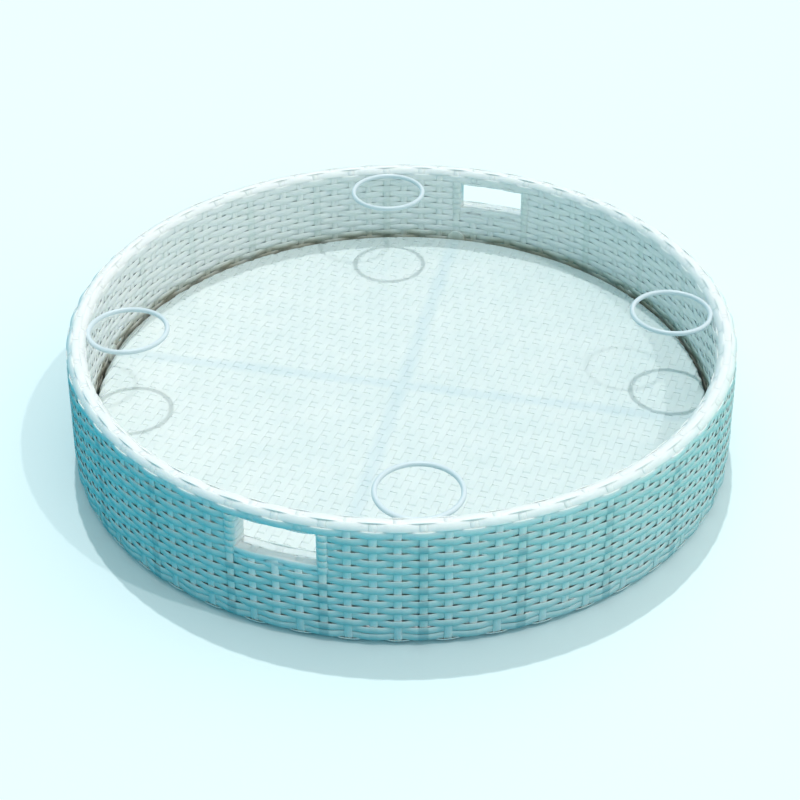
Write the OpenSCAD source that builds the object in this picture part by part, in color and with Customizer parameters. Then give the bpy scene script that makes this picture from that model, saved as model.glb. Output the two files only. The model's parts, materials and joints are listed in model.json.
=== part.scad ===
// Round floating pool tray: a welded tube frame covered with woven flat strip, a drop-in
// woven floor on a foam float, four wire rings for glasses and a hand opening at each end.
// The base stands on z = 0, the front hand opening faces -Y and +Z is up.

/* [Tray] */
// Outside diameter over the rolled rim
rim_d = 800; // [600:10:1000]
// Height from the base to the top of the rim
tray_h = 159; // [140:1:190]
// How much further out the wall stands at its foot than at the rim
flare = 5; // [0:1:10]
// Height of the woven floor above the base
floor_h = 56; // [48:1:64]

/* [Weave] */
// Thickness of a woven skin, stake and strips together
weave_t = 4.2; // [3.8:0.2:5]
// How far a strip sinks where it passes behind a stake
weave_dip = 2.6; // [1.6:0.2:2.8]
// Stakes round the wall
stake_n = 96; // [72:24:120]
// Centre distance of neighbouring strips
strip_pitch = 8.8; // [7.6:0.2:10]
// Bare line between two strips
strip_gap = 1.1; // [0.6:0.1:1.6]
// Clearance between a woven skin and the tube in it
skin_gap = 0.3; // [0.1:0.1:0.5]
// Length of the slits left between the stakes, one row below the rim
slit_w = 8; // [4:1:12]
// Flat that the base takes where it stands
base_flat = 0.4; // [0.2:0.1:0.6]

/* [Frame] */
// Tube of the top rail and the base rail
rail_d = 16; // [15:1:20]
// Tube of the upright posts
post_d = 10; // [9.5:0.5:14]
// Wall of every frame tube
tube_wall = 1.2; // [0.8:0.1:1.8]
// Upright posts round the wall
post_n = 24; // [20:4:24]
// Tube of the floor's rim
floor_rim_d = 12; // [11:0.5:14]
// Rods that cross under the floor
floor_bar_d = 9; // [7:0.5:9]
// Free line between the floor's edge and the wall
floor_play = 2.4; // [1.5:0.1:4]

/* [Hand openings] */
// Clear height between the sill and the wrapped rail
hand_h = 32; // [20:1:38]
// Height of the wrapped sill
sill_h = 11; // [9:0.5:16]
// Rod inside the sill
sill_bar_d = 6; // [4:0.5:7]
// Thickness of the winding beside a jamb post
jamb_t = 1.8; // [1.2:0.1:4]
// Corner radius of the sill and the jamb windings
wrap_r = 4; // [2:0.5:4.5]

/* [Glass rings] */
// Outside diameter of a ring
ring_d = 100; // [70:2:120]
// Ring wire
ring_wire_d = 6; // [3:0.5:6.5]
// Height of a ring's wire above the rail's centre line
ring_lift = 2; // [1:0.5:5]
// How deep the wire sets into the inside of the rim
ring_inset = 3; // [0.5:0.1:3.4]

/* [Float] */
// Height of the foam's underside above the base
foam_lift = 3; // [2:0.5:6]
// Gap round the foam disc
foam_play = 4; // [2:0.5:12]
// Width of the straps that hold the foam up
strap_w = 20; // [12:1:30]
// Thickness of the straps
strap_t = 3; // [2:0.5:4]
// Height of the straps' underside above the base
strap_lift = 9; // [7:0.5:11]
// Play of the straps in the foam and in the wall
strap_play = 0.3; // [0.2:0.1:0.6]

/* [Floor joints] */
// Diameter of the winding where a floor rod meets its post
joint_d = 24; // [20:1:26]
// Height of the winding's centre below the floor
joint_drop = 4.5; // [4:0.5:8]

/* [Hidden] */
row_turn = 45;                                   // turn of the rail that one rim strip takes
edge_turn = row_turn / 2;
strip_s = [0.06, 0.3, 0.7, 0.94];                // where a rim strip's edge and flat lie in its turn
skin_back = rail_d / 2 + skin_gap;               // rail centre to the back of the weave
skin_r = skin_back + weave_t;                    // rail centre to the outside of the weave
top_z = tray_h - skin_r;
base_z = skin_r - base_flat;
top_r = rim_d / 2 - skin_r;
base_r = top_r + flare;
wall_lo = base_z + skin_r * sin(edge_turn);
wall_hi = top_z - skin_r * sin(edge_turn);
wall_rows = round((wall_hi - wall_lo) / strip_pitch);
wall_pitch = (wall_hi - wall_lo) / wall_rows;
post_turn = 360 / post_n;
first_post = post_turn / 2;                      // the openings lie midway between two posts
hand_az = [270, 90];
ring_az = [for (k = [0:3]) 22.5 + 90 * k];
bar_az = first_post;
tiny = 0.2;                                      // play at a coped or butted end
slack = 1;                                       // how far a cutter runs past what it cuts
seam_turn = 17;                                  // keeps a rod's seam off the edges of the weave

// Centre line of the wall at height z
function wall_r(z) = top_r + flare * (top_z - z) / (top_z - base_z);

// Floor: its rim tube lies inside the edge of the weave
floor_edge_r = wall_r(floor_h) - skin_r - floor_play;
floor_skin_r = floor_rim_d / 2 + skin_gap + weave_t;
floor_rim_r = floor_edge_r - floor_skin_r;
floor_z = floor_h - floor_skin_r;
bar_z = floor_h - weave_t - skin_gap - floor_bar_d / 2 - skin_gap;
inner_rows = ceil((wall_hi - floor_h) / wall_pitch);

// Hand openings
hand_top = top_z - skin_r;
sill_top = hand_top - hand_h;
sill_mid = sill_top - sill_h / 2;
jamb_w = post_d + 2 * jamb_t;
jamb_turn = asin((jamb_w / 2 + skin_gap) / (top_r - skin_r));
cut_turn = post_turn / 2 + jamb_turn;
clear_turn = post_turn / 2 - jamb_turn;          // half of what is free between the jambs

// Rings
ring_r = (ring_d - ring_wire_d) / 2;
ring_z = top_z + ring_lift;
rim_face_r = top_r - sqrt(skin_r * skin_r - ring_lift * ring_lift);
ring_reach = rim_face_r + ring_inset - ring_d / 2;

// Float
foam_top = floor_z - floor_skin_r - skin_gap;
foam_r = wall_r(foam_lift) - skin_r - foam_play;
strap_top = strap_lift + strap_t;
joint_z = floor_h - joint_drop;

white = "whitesmoke";
$fn = 96;

function post_name(i) = str("post_", i < 9 ? "0" : "", i + 1);
ends = ["front", "back"];
sides = ["left", "right"];
ring_names = ["back_right", "back_left", "front_left", "front_right"];

// A point on a circle of radius r round [x, y]
function polar(x, y, r, a) = [x + r * cos(a), y + r * sin(a)];

// Round tube or rod bent into a ring
module ring_bar(r, z, d) {
    translate([0, 0, z]) rotate_extrude() translate([r, 0]) circle(d = d);
}

module ring_tube(r, z, d) {
    difference() {
        ring_bar(r, z, d);
        ring_bar(r, z, d - 2 * tube_wall);
    }
}

// Rod of diameter d along the radius at height z, from radius r0 to r1
module radial_rod(r0, r1, z, d) {
    translate([r0, 0, z]) rotate([0, 90, 0]) rotate(seam_turn) cylinder(h = r1 - r0, d = d);
}

// Puts its children at the wall's centre line, leaning with the wall, up from the base rail
module on_post() {
    translate([base_r, 0, base_z])
        rotate([0, -atan(flare / (top_z - base_z)), 0]) children();
}

module post_bar(d) {
    on_post() cylinder(h = (top_z - base_z) / cos(atan(flare / (top_z - base_z))), d = d);
}

// Rectangle w by h about the origin with corner radius r
module round_rect(w, h, r) {
    square([w - 2 * r, h], center = true);
    square([w, h - 2 * r], center = true);
    for (x = [-1, 1], y = [-1, 1])
        translate([x * (w / 2 - r), y * (h / 2 - r)]) circle(r = r);
}

// Frame

module top_rail() {
    color("gainsboro") ring_tube(top_r, top_z, rail_d);
}

module base_rail() {
    color("gainsboro") ring_tube(base_r, base_z, rail_d);
}

module post(i) {
    color("gainsboro") rotate(first_post + i * post_turn) difference() {
        post_bar(post_d);
        post_bar(post_d - 2 * tube_wall);
        ring_bar(top_r, top_z, rail_d);
        ring_bar(base_r, base_z, rail_d);
    }
}

// Rod of diameter d bent with the wall, from post to post under a hand opening
module sill_rod(az, d) {
    rotate(az - post_turn / 2) translate([0, 0, sill_mid]) rotate_extrude(angle = post_turn)
        translate([wall_r(sill_mid), 0]) circle(d = d);
}

module sill_bar(az) {
    color("gainsboro") difference() {
        sill_rod(az, sill_bar_d);
        for (s = [-1, 1]) rotate(az + s * post_turn / 2) post_bar(post_d);
    }
}

module floor_rim() {
    color("gainsboro") difference() {
        union() {
            ring_bar(floor_rim_r, floor_z, floor_rim_d);
            for (k = [0:3]) rotate(bar_az + 90 * k)
                radial_rod(floor_rim_r, wall_r(floor_z), floor_z, floor_bar_d);
        }
        ring_bar(floor_rim_r, floor_z, floor_rim_d - 2 * tube_wall);
        for (k = [0:3]) rotate(bar_az + 90 * k) post_bar(post_d);
    }
}

module floor_bar_long() {
    color("gainsboro") rotate(bar_az) difference() {
        radial_rod(-floor_rim_r, floor_rim_r, bar_z, floor_bar_d);
        ring_bar(floor_rim_r, floor_z, floor_rim_d);
    }
}

module floor_bar_short(side) {
    color("gainsboro") rotate(bar_az + 90 * side) difference() {
        radial_rod(floor_bar_d / 2 + tiny, floor_rim_r, bar_z, floor_bar_d);
        ring_bar(floor_rim_r, floor_z, floor_rim_d);
    }
}

// Float and the straps that hold it up

module strap_bar(x0, x1) {
    translate([x0, -strap_w / 2, strap_lift]) cube([x1 - x0, strap_w, strap_t]);
}

module strap_long() {
    color("gainsboro") rotate(bar_az) difference() {
        strap_bar(-base_r, base_r);
        ring_bar(base_r, base_z, rail_d);
    }
}

module strap_short(side) {
    color("gainsboro") rotate(bar_az + 90 * side) difference() {
        strap_bar(strap_w / 2 + tiny, base_r);
        ring_bar(base_r, base_z, rail_d);
    }
}

module foam_float() {
    groove_w = strap_w + 2 * strap_play;
    color("aliceblue") difference() {
        translate([0, 0, foam_lift]) cylinder(h = foam_top - foam_lift, r = foam_r);
        for (k = [0, 1]) rotate(bar_az + 90 * k)
            translate([-base_r, -groove_w / 2, foam_lift - slack])
                cube([2 * base_r, groove_w, strap_top - foam_lift + slack]);
    }
}

// Glass rings: wire bent round, with a stub that is welded to the top rail

module ring_wire(d) {
    translate([ring_reach, 0, 0]) ring_bar(ring_r, ring_z, d);
}

module ring_stub(d) {
    radial_rod(ring_reach + ring_r, top_r, ring_z, d);
}

module glass_ring(az) {
    color("white") rotate(az) difference() {
        union() {
            ring_wire(ring_wire_d);
            ring_stub(ring_wire_d - tiny);
        }
        ring_bar(top_r, top_z, rail_d);
    }
}

// Weave

// Closed ring whose section is the outline out(i) at stake i, all with as many points
function ring_points(outline) = [for (i = [0:stake_n - 1]) for (p = outline[i % 2])
    [p[0] * cos(360 * i / stake_n), p[0] * sin(360 * i / stake_n), p[1]]];
function ring_faces(m) = [for (i = [0:stake_n - 1], j = [0:m - 1])
    let (a = i * m, b = ((i + 1) % stake_n) * m, k = (j + 1) % m)
    each [[a + j, a + k, b + k], [a + j, b + k, b + j]]];

// Front of a woven wall from z0 to z1: rows of strip that go in and out from stake to stake
function wall_front(z0, z1, rows, face, dip, odd) = [
    for (k = [0:rows - 1], e = [0, 1])
        let (pitch = (z1 - z0) / rows,
             z = z0 + pitch * (k + e) + (k + e > 0 && k + e < rows ? (1 - 2 * e) * strip_gap / 2 : 0))
        [wall_r(z) + face - ((k + odd) % 2 == 0 ? 0 : dip), z]];

module woven_wall(outlines) {
    polyhedron(points = ring_points(outlines), faces = ring_faces(len(outlines[0])));
}

// What the wall's skins are cut away for, at both hand openings
module hand_cuts() {
    for (az = hand_az) rotate(az - cut_turn) translate([0, 0, sill_top - sill_h])
        rotate_extrude(angle = 2 * cut_turn) translate([top_r - 2 * skin_r, 0])
            square([4 * skin_r, wall_hi - sill_top + sill_h + slack]);
}

// Slits beside the stakes where the light comes through, clear of the hand openings
module slits() {
    z = wall_hi - wall_pitch;
    for (i = [0:stake_n - 1]) let (az = 360 * (i + 0.5) / stake_n)
        if (abs(cos(az)) > sin(cut_turn + 360 / stake_n / 2)) rotate(az)
            translate([wall_r(z) + skin_back - slack, -slit_w / 2, z - strip_gap / 2])
                cube([weave_t + 2 * slack, slit_w, strip_gap]);
}

module outer_weave() {
    back = [[wall_r(wall_hi) + skin_back, wall_hi], [wall_r(wall_lo) + skin_back, wall_lo]];
    color(white) difference() {
        woven_wall([for (odd = [0, 1])
            concat(wall_front(wall_lo, wall_hi, wall_rows, skin_r, weave_dip, odd), back)]);
        hand_cuts();
        slits();
    }
}

module inner_weave() {
    back = [[wall_r(wall_lo) - skin_back, wall_lo], [wall_r(wall_hi) - skin_back, wall_hi]];
    foot = [wall_r(wall_lo) - skin_r + weave_dip / 2, wall_lo];
    color(white) difference() {
        woven_wall([for (odd = [0, 1]) let (
            low = wall_hi - inner_rows * wall_pitch,
            front = wall_front(low, wall_hi, inner_rows, -skin_r, -weave_dip, odd),
            n = len(front))
            concat([for (j = [1:n]) front[n - j]], [foot], back)]);
        hand_cuts();
        for (k = [0:3]) rotate(bar_az + 90 * k)
            radial_rod(floor_rim_r, base_r, joint_z, joint_d + 2 * strap_play);
    }
}

// Strips laid round a rail at [x, y], n of them from angle a0: each is flat with sunk edges
function strip_arc(x, y, a0, n) = [for (k = [0:n - 1], j = [0:3])
    polar(x, y, j == 0 || j == 3 ? skin_r - strip_gap : skin_r / cos(row_turn * (strip_s[2] - 0.5)),
        a0 + row_turn * (k + strip_s[j]))];
function back_arc(x, y, r, a0, a1, n) = [for (k = [0:n])
    polar(x, y, r, a0 + (a1 - a0) * k / n)];

module rail_skin(x, y, a0) {
    polygon(concat(strip_arc(x, y, a0, 5),
        back_arc(x, y, skin_back / cos(edge_turn / 2), a0 + 5 * row_turn, a0, 10)));
}

module rim_weave() {
    color(white) difference() {
        rotate_extrude() rail_skin(top_r, top_z, -edge_turn);
        for (az = ring_az) rotate(az) {
            ring_wire(ring_wire_d + 2 * tiny);
            ring_stub(ring_wire_d + tiny);
        }
    }
}

module base_weave() {
    color(white) difference() {
        rotate_extrude() intersection() {
            rail_skin(base_r, base_z, 180 - edge_turn);
            translate([base_r - 2 * skin_r, 0]) square(4 * skin_r);
        }
        for (k = [0:3]) rotate(bar_az + 90 * k)
            translate([floor_rim_r, -strap_w / 2 - strap_play, strap_lift - strap_play])
                cube([base_r - floor_rim_r, strap_w + 2 * strap_play, strap_t + 2 * strap_play]);
    }
}

// The floor: strips side by side along Y, turned down over the floor's rim tube
module floor_skin() {
    rotate_extrude() {
        translate([0, floor_h - weave_t]) square([floor_rim_r, weave_t]);
        difference() {
            intersection() {
                translate([floor_rim_r, floor_z]) circle(r = floor_skin_r);
                translate([floor_rim_r, 0]) square(floor_h);
            }
            translate([floor_rim_r, floor_z]) circle(r = floor_skin_r - weave_t);
        }
    }
}

// Bare line between two floor strips, cut slack deep above the floor
module floor_line() {
    bed = strip_gap / 2;
    slope = strip_pitch / 6 / strip_gap;
    top = bed + slope * (strip_gap + slack);
    translate([0, floor_edge_r, floor_h]) rotate([90, 0, 0]) linear_extrude(2 * floor_edge_r)
        polygon([[-bed, -strip_gap], [bed, -strip_gap], [top, slack], [-top, slack]]);
}

module floor_weave() {
    n = floor(floor_rim_r / strip_pitch - 0.5);
    color(white) difference() {
        floor_skin();
        for (k = [-n:n]) translate([strip_pitch * k, 0, 0]) floor_line();
        for (k = [0:3]) rotate(bar_az + 90 * k)
            radial_rod(floor_rim_r, base_r, floor_z, floor_bar_d + 2 * skin_gap);
    }
}

// Windings round the hand openings and where the floor's rods meet their posts

module header_wrap(az) {
    a0 = 180 + edge_turn;
    a1 = 360 - edge_turn;
    color(white) rotate(az - clear_turn) translate([0, 0, top_z]) rotate_extrude(angle = 2 * clear_turn)
        polygon(concat(back_arc(top_r, 0, skin_r, a0, a1, 12),
            back_arc(top_r, 0, skin_back / cos((a1 - a0) / 24), a1, a0, 12)));
}

module sill_wrap(az) {
    color(white) rotate(az - clear_turn) translate([0, 0, sill_mid]) rotate_extrude(angle = 2 * clear_turn)
        translate([wall_r(sill_mid), 0]) difference() {
            round_rect(2 * skin_r, sill_h, wrap_r);
            circle(d = sill_bar_d + skin_gap);
        }
}

// Turns of strip round a jamb post, from the foot of the sill up to the rim
module jamb_wrap(az, side) {
    foot = sill_top - sill_h;
    run = wall_hi - foot;
    pitch = run / round(run / strip_pitch);
    color(white) intersection() {
        translate([0, 0, foot]) cylinder(h = run, d = 2 * rim_d);
        difference() {
            rotate(az + side * post_turn / 2) on_post() translate([0, 0, foot - base_z - pitch]) {
                linear_extrude(run + 2 * pitch)
                    round_rect(2 * skin_r - strip_gap, jamb_w - strip_gap, wrap_r);
                for (z = [pitch:pitch:run])
                    translate([0, 0, z + strip_gap / 2]) linear_extrude(pitch - strip_gap)
                        round_rect(2 * skin_r, jamb_w, wrap_r);
            }
            rotate(az + side * post_turn / 2) post_bar(post_d + 2 * skin_gap);
            ring_bar(top_r, top_z, 2 * skin_back);
            sill_rod(az, sill_bar_d + skin_gap);
        }
    }
}

module joint_wrap(k) {
    r0 = floor_edge_r + skin_gap;
    color(white) rotate(bar_az + 90 * k) difference() {
        radial_rod(r0, wall_r(joint_z), joint_z, joint_d);
        radial_rod(r0 - slack, base_r, floor_z, floor_bar_d + 2 * skin_gap);
        post_bar(post_d + 2 * skin_gap);
        translate([wall_r(joint_z) - post_d / 2, -joint_d, 0]) cube([joint_d, 2 * joint_d, tray_h]);
    }
}

top_rail();
base_rail();
for (i = [0:post_n - 1]) post(i);
for (e = [0, 1]) sill_bar(hand_az[e]);
floor_rim();
floor_bar_long();
floor_bar_short(1);  // floor_bar_left
floor_bar_short(-1);  // floor_bar_right
strap_long();
strap_short(1);  // strap_left
strap_short(-1);  // strap_right
foam_float();
for (k = [0:3]) glass_ring(ring_az[k]);
outer_weave();
inner_weave();
rim_weave();
base_weave();
floor_weave();
for (e = [0, 1]) header_wrap(hand_az[e]);
for (e = [0, 1]) sill_wrap(hand_az[e]);
for (e = [0, 1], s = [0, 1]) jamb_wrap(hand_az[e], 2 * s - 1);
for (k = [0:3]) joint_wrap(k);
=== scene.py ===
import json
import math

import bpy
from mathutils import Matrix, Vector


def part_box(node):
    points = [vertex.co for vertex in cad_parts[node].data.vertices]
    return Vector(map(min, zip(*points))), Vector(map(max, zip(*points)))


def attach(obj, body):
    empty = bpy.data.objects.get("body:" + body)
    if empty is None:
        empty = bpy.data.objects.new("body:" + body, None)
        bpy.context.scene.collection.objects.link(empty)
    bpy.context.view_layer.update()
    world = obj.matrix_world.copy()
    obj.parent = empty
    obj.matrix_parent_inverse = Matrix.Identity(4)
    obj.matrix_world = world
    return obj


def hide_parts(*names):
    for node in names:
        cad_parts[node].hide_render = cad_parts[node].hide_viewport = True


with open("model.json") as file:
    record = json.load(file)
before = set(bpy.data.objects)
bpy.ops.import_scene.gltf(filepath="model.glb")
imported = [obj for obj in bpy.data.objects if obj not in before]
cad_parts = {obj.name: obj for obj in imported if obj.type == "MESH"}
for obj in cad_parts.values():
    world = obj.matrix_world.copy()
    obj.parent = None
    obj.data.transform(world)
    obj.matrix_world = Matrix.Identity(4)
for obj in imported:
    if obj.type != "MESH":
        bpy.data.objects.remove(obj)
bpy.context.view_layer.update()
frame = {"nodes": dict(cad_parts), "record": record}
print("frame loaded:", len(frame["nodes"]), "nodes")


# Small helpers

def linear(hexColour):    # sRGB hex to a linear colour with alpha 1
    parts = [int(hexColour[i:i + 2], 16) / 255 for i in (1, 3, 5)]
    return [c / 12.92 if c <= 0.04045 else ((c + 0.055) / 1.055) ** 2.4 for c in parts] + [1.0]


def addNode(tree, kind, links=None, **settings):
    node = tree.nodes.new(kind)
    for key, value in settings.items():
        setattr(node, key, value)
    for slot, value in (links or {}).items():
        if isinstance(value, bpy.types.NodeSocket):
            tree.links.new(value, node.inputs[slot])
        else:
            node.inputs[slot].default_value = value
    return node


def newTree(name, inputs):
    tree = bpy.data.node_groups.new(name, "GeometryNodeTree")
    tree.interface.new_socket("Geometry", in_out="INPUT", socket_type="NodeSocketGeometry")
    for label, kind in inputs.items():
        tree.interface.new_socket(label, in_out="INPUT", socket_type="NodeSocket" + kind)
    tree.interface.new_socket("Geometry", in_out="OUTPUT", socket_type="NodeSocketGeometry")
    return tree, addNode(tree, "NodeGroupInput").outputs


def bake(name, base, tree, values, slot, *replaced):    # runs the tree on the base and keeps a plain mesh
    piece = bpy.data.objects.new(name, base)
    bpy.context.scene.collection.objects.link(piece)
    modifier = piece.modifiers.new("build", "NODES")
    modifier.node_group = tree
    for socket in tree.interface.items_tree:
        if socket.name in values and socket.in_out == "INPUT":
            modifier[socket.identifier] = values[socket.name]
    graph = bpy.context.evaluated_depsgraph_get()
    built = piece.evaluated_get(graph)
    made = bpy.data.meshes.new_from_object(built, preserve_all_data_layers=True, depsgraph=graph)
    piece.modifiers.clear()
    piece.data = made
    made.name = name
    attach(piece, "root")
    if replaced:
        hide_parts(*replaced)
    print(name, len(made.polygons), "faces")


def pathMesh(name, points, edges=(), **attributes):    # points, with a list of values for each attribute
    mesh = bpy.data.meshes.new(name)
    mesh.from_pydata([tuple(p) for p in points], list(edges), [])
    for label, values in attributes.items():
        vector = isinstance(values[0], Vector)
        layer = mesh.attributes.new(label, "FLOAT_VECTOR" if vector else "FLOAT", "POINT")
        for item, value in zip(layer.data, values):
            if vector:
                item.vector = value
            else:
                item.value = value
    return mesh


# Layout that the frame gives, as a section through the wall: x outwards, z up

railLow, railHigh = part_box("top_rail")
footLow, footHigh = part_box("base_rail")
railR = (railHigh.z - railLow.z) / 2
rail = Vector((railHigh.x - railR, 0, railLow.z + railR))
foot = Vector((footHigh.x - railR, 0, footLow.z + railR))
lean = math.atan((foot.x - rail.x) / (rail.z - foot.z))
wallOut = Vector((math.cos(lean), 0, math.sin(lean)))
wallLow, wallHigh = (corner.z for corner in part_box("outer_weave"))
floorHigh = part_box("floor_weave")[1]
sillLow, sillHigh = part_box("sill_wrap_front")
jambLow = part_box("jamb_wrap_front_left")[0]
skinR = floorHigh.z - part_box("floor_rim")[1].z + railR    # rail centre to the front of the weave
deck = floorHigh.z
knob = sum(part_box("joint_wrap_1"), Vector()) / 2    # wound end of a floor rod

weave = {
    "stakes": 96,           # upright strips round the wall
    "steps": 6,             # points from one stake to the next
    "stripWide": 0.0086,
    "stripThick": 0.0011,
    "stakeWide": 0.0085,
    "stakeThick": 0.0010,
    "edgeShare": 0.45,      # radius of a strip's edge, as a share of its thickness
    "relief": 0.00125,      # how far a strip swings out and in
    "square": 1.35,         # makes the swing flat on top of a stake and steep between two
    "swell": 0.10,          # share by which a strip looks wider where it lies on top
    "pinch": 0.12,          # share by which its width wanders
    "pinchScale": 60.0,
    "depth": 0.0020,        # front of a skin to its middle
    "outerRows": 14,
    "hiddenRows": 2,        # rows of the inner skin that go on below the floor
    "rimRows": 5,
    "footRows": 5,
    "headerRows": 3,
    "halfSteps": 12,        # straight parts of a stake round half a rail
    "wholeSteps": 20,       # and all the way round the rim
    "wobble": 0.0007,       # hand-made unevenness
    "wobbleScale": 45.0,
    "stir": 0.0015,         # how far a stake strays from its place, in radians
    "footInset": 0.0005,    # the strips under the foot are pulled tighter
    "openingTurn": math.radians(8.0),    # strips end here, under the jamb windings
    "clearTurn": math.radians(7.0),      # sill and header strips reach this far
    "dive": 0.016,          # how far from its end a strip starts to go under the winding, as a cosine
}
midR = skinR - weave["depth"]
quarter = math.pi / 2


def wallX(z):
    return rail.x + (foot.x - rail.x) * (rail.z - z) / (rail.z - foot.z)


# Materials

def newMaterial(name):
    material = bpy.data.materials.new(name)
    material.use_nodes = True
    tree = material.node_tree
    return material, tree, tree.nodes["Principled BSDF"]


plastic = {
    "cloud": 0.045,         # size of the slow changes of tone
    "grain": 0.0022,        # size and depth of the fine relief
    "grainDepth": 0.0006,
    "grainStrength": 0.12,
    "roughness": 0.42,
    "index": 1.46,
    "glow": 0.7,            # share of the light that goes in and comes out beside
    "glowReach": 0.0015,
}
fine = {    # sizes of the fine patterns on the other materials
    "peel": 0.0015,         # orange peel of the powder coat
    "draw": 0.003,          # marks of the die on the tube
    "cell": 0.004,          # cells of the foam, drawn coarse enough to show
}
gapTint = {    # brown tint in the gap between the floor and the wall, fading up the wall
    "colour": "#94865a",
    "inner": floorHigh.x - 0.004,
    "full": floorHigh.x,
    "outer": wallX(deck) - midR + 0.001,
    "edge": 0.004,          # width of its soft outer edge
    "top": deck + 0.008,
    "fade": 0.009,
    "patch": 0.03,          # size of the stronger and weaker spots
    "patchLow": 0.35,       # noise that gives the least and the full strength
    "patchHigh": 0.6,
    "least": 0.25,
    "strength": 0.6,
}
behind = {    # painted shade of the posts, stakes and rods that lie behind the milky strips
    "posts": 24,
    "postHalf": 0.005,
    "postShade": 0.40,
    "rimShade": 0.15,       # share of the shades that is left on the rim
    "rimFade": 0.004,
    "stakeHalf": 0.0042,
    "stakeShade": 0.12,
    "full": 0.8,            # shares of the half width up to which a shade is full and at which it ends
    "gone": 1.4,
    "rodHalf": 0.007,
    "rodShade": 0.26,
    "rodFull": 0.3,
    "rodGone": 2.2,
    "rodTurn": math.atan2(knob.y, knob.x),
    "rodShadeColour": "#b4cfdc",
}


def bands(tree, angle, count, shift, half):    # 1 along upright bands, count of them round the tray
    turns = addNode(tree, "ShaderNodeMath", {0: angle, 1: count / math.tau, 2: shift + 0.5},
                    operation="MULTIPLY_ADD")
    part = addNode(tree, "ShaderNodeMath", {0: turns.outputs[0]}, operation="FRACT")
    away = addNode(tree, "ShaderNodeMath", {0: part.outputs[0], 1: 0.5}, operation="SUBTRACT")
    away = addNode(tree, "ShaderNodeMath", {0: away.outputs[0]}, operation="ABSOLUTE")
    edge = half * count / (math.tau * wallX(deck))
    limits = {"Value": away.outputs[0], "From Min": edge * behind["gone"], "From Max": edge * behind["full"]}
    return addNode(tree, "ShaderNodeMapRange", limits, interpolation_type="SMOOTHSTEP").outputs[0]


def wallShade(tree, spot, reach):    # painted shade of the posts and stakes behind the strips of the wall
    angle = addNode(tree, "ShaderNodeMath", {0: spot["Y"], 1: spot["X"]}, operation="ARCTAN2").outputs[0]
    post = bands(tree, angle, behind["posts"], 0.5, behind["postHalf"])
    post = addNode(tree, "ShaderNodeMath", {0: post, 1: behind["postShade"]}, operation="MULTIPLY").outputs[0]
    stake = bands(tree, angle, weave["stakes"], 0.0, behind["stakeHalf"])
    seen = addNode(tree, "ShaderNodeMath", {0: stake, 1: behind["stakeShade"], 2: post},
                   operation="MULTIPLY_ADD")
    onWall = addNode(tree, "ShaderNodeMath", {0: reach, 1: gapTint["inner"]}, operation="GREATER_THAN")
    seen = addNode(tree, "ShaderNodeMath", {0: seen.outputs[0], 1: onWall.outputs[0]}, operation="MULTIPLY")
    belowRim = addNode(tree, "ShaderNodeMapRange", {
        "Value": spot["Z"], "From Min": railLow.z + behind["rimFade"],
        "From Max": railLow.z - behind["rimFade"], "To Min": behind["rimShade"]})
    return addNode(tree, "ShaderNodeMath", {0: seen.outputs[0], 1: belowRim.outputs[0]},
                   operation="MULTIPLY").outputs[0]


def floorShade(tree, flat, reach):    # painted shade of the rods below the floor
    turned = addNode(tree, "ShaderNodeVectorRotate", {"Vector": flat, "Angle": -behind["rodTurn"]},
                     rotation_type="Z_AXIS").outputs[0]
    turned = addNode(tree, "ShaderNodeVectorMath", {0: turned}, operation="ABSOLUTE").outputs[0]
    turned = addNode(tree, "ShaderNodeSeparateXYZ", {0: turned}).outputs
    nearest = addNode(tree, "ShaderNodeMath", {0: turned["X"], 1: turned["Y"]},
                      operation="MINIMUM").outputs[0]
    rod = addNode(tree, "ShaderNodeMapRange",
                  {"Value": nearest, "From Min": behind["rodHalf"] * behind["rodGone"],
                   "From Max": behind["rodHalf"] * behind["rodFull"], "To Max": behind["rodShade"]},
                  interpolation_type="SMOOTHSTEP").outputs[0]
    onFloor = addNode(tree, "ShaderNodeMath", {0: reach, 1: gapTint["inner"]}, operation="LESS_THAN").outputs[0]
    return addNode(tree, "ShaderNodeMath", {0: rod, 1: onFloor}, operation="MULTIPLY").outputs[0]


def gapTintMask(tree, place, spot, reach):    # where the brown tint lies, in patches
    inGap = addNode(tree, "ShaderNodeMapRange",
                    {"Value": reach, "From Min": gapTint["inner"], "From Max": gapTint["full"]})
    outGap = addNode(tree, "ShaderNodeMapRange",
                     {"Value": reach, "From Min": gapTint["outer"] + gapTint["edge"], "From Max": gapTint["outer"]})
    above = addNode(tree, "ShaderNodeMapRange",
                    {"Value": spot["Z"], "From Min": gapTint["top"], "From Max": gapTint["top"] - gapTint["fade"]})
    mask = addNode(tree, "ShaderNodeMath", {0: inGap.outputs[0], 1: outGap.outputs[0]}, operation="MULTIPLY")
    mask = addNode(tree, "ShaderNodeMath", {0: mask.outputs[0], 1: above.outputs[0]}, operation="MULTIPLY")
    patch = addNode(tree, "ShaderNodeTexNoise", {"Vector": place, "Scale": 1 / gapTint["patch"], "Detail": 3.0})
    patch = addNode(tree, "ShaderNodeMapRange",
                    {"Value": patch.outputs["Fac"], "From Min": gapTint["patchLow"],
                     "From Max": gapTint["patchHigh"], "To Min": gapTint["least"], "To Max": gapTint["strength"]})
    return addNode(tree, "ShaderNodeMath", {0: mask.outputs[0], 1: patch.outputs[0]},
                   operation="MULTIPLY").outputs[0]


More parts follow.
